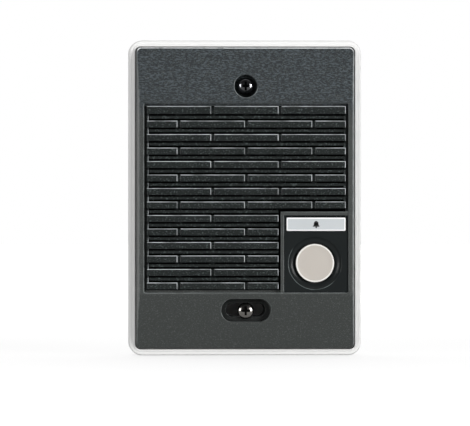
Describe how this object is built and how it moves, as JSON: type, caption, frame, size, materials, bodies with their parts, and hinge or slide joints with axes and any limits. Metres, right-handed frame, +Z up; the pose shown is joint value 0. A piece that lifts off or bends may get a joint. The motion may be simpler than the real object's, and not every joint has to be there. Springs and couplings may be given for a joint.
{
  "type": "intercom room station",
  "caption": "Wall-mounted intercom room station with a louvred speaker front, a round call button, a label plate, and two mounting screws on a single wall box pitch.",
  "frame": {"origin": "centre of the back face, in the wall plane", "axes": "+Z up, +X to the right seen from the front, +Y into the wall, so the front faces -Y"},
  "size_m": [0.0864, 0.04, 0.1172],
  "materials": {
    "light_plastic": "smooth light grey moulded plastic",
    "dark_plastic": "fine spark-eroded texture, dark grey",
    "louvre_plastic": "fine satin texture, dark grey",
    "panel_plastic": "smooth dark grey",
    "label_plate": "satin silver plate, bare",
    "button_plastic": "warm off-white moulded plastic",
    "spring_steel": "drawn wire",
    "switch_case": "black moulded",
    "switch_actuator": "red moulded",
    "tinned_brass": "tinned",
    "zinc_steel": "zinc plated",
    "blackened_steel": "black oxide",
    "bright_steel": "nickel plated",
    "board_laminate": "phenolic laminate",
    "terminal_phenolic": "black phenolic",
    "seal_rubber": "black rubber",
    "gasket_foam": "closed-cell foam",
    "screen_cloth": "black woven cloth",
    "basket_steel": "plated pressed steel",
    "magnet_ferrite": "sintered ferrite",
    "plate_steel": "passivated steel",
    "cone_paper": "treated paper",
    "coil_copper": "enamelled wire",
    "core_steel": "laminated steel",
    "bobbin_nylon": "natural nylon",
    "winding_tape": "yellow tape",
    "capacitor_sleeve": "dark blue sleeve",
    "film_case": "dipped resin",
    "resistor_body": "tan coating",
    "diode_case": "black epoxy",
    "lead_red": "red insulation",
    "lead_black": "black insulation"
  },
  "bodies": {
    "housing": {"back_base": "light_plastic", "front_cover": "dark_plastic", "louvre_grille": "louvre_plastic", "cover_seal": "seal_rubber", "button_panel": "panel_plastic", "name_label": "label_plate", "button_spring": "spring_steel", "switch_body": "switch_case", "switch_pins": "tinned_brass", "circuit_board": "board_laminate", "board_screws": "zinc_steel", "terminal_block": "terminal_phenolic", "terminal_screws": "zinc_steel", "terminal_clamps": "tinned_brass", "dust_screen": "screen_cloth", "speaker_gasket": "gasket_foam", "speaker_frame": "basket_steel", "speaker_surround": "cone_paper", "speaker_cone": "cone_paper", "dust_cap": "cone_paper", "voice_coil": "coil_copper", "speaker_top_plate": "plate_steel", "speaker_magnet": "magnet_ferrite", "speaker_yoke": "plate_steel", "speaker_clips": "zinc_steel", "speaker_screws": "zinc_steel", "speaker_terminal_strip": "board_laminate", "speaker_lugs": "tinned_brass", "speaker_lead_red": "lead_red", "speaker_lead_black": "lead_black", "transformer_core": "core_steel", "transformer_bobbin": "bobbin_nylon", "transformer_winding": "winding_tape", "capacitors": "capacitor_sleeve", "film_capacitor": "film_case", "resistors": "resistor_body", "diodes": "diode_case", "cover_screws": "zinc_steel", "mounting_screw_upper": "blackened_steel", "mounting_screw_lower": "bright_steel"},
    "call_button": {"call_button": "button_plastic"},
    "switch_plunger": {"switch_plunger": "switch_actuator"}
  },
  "joints": [
    {"name": "call_button_press", "type": "slide", "parent": "housing", "child": "call_button", "axis": [0, 1, 0], "range_m": [0, 0.0018], "stiffness_N_per_m": 400, "springref_m": -0.0012, "deforming": ["button_spring"]},
    {"name": "switch_plunger_press", "type": "slide", "parent": "housing", "child": "switch_plunger", "axis": [0, 1, 0], "range_m": [0, 0.0018], "stiffness_N_per_m": 100, "springref_m": -0.0005}
  ],
  "couplings": [
    {"joint": "switch_plunger_press", "follows": "call_button_press", "ratio": 1}
  ]
}
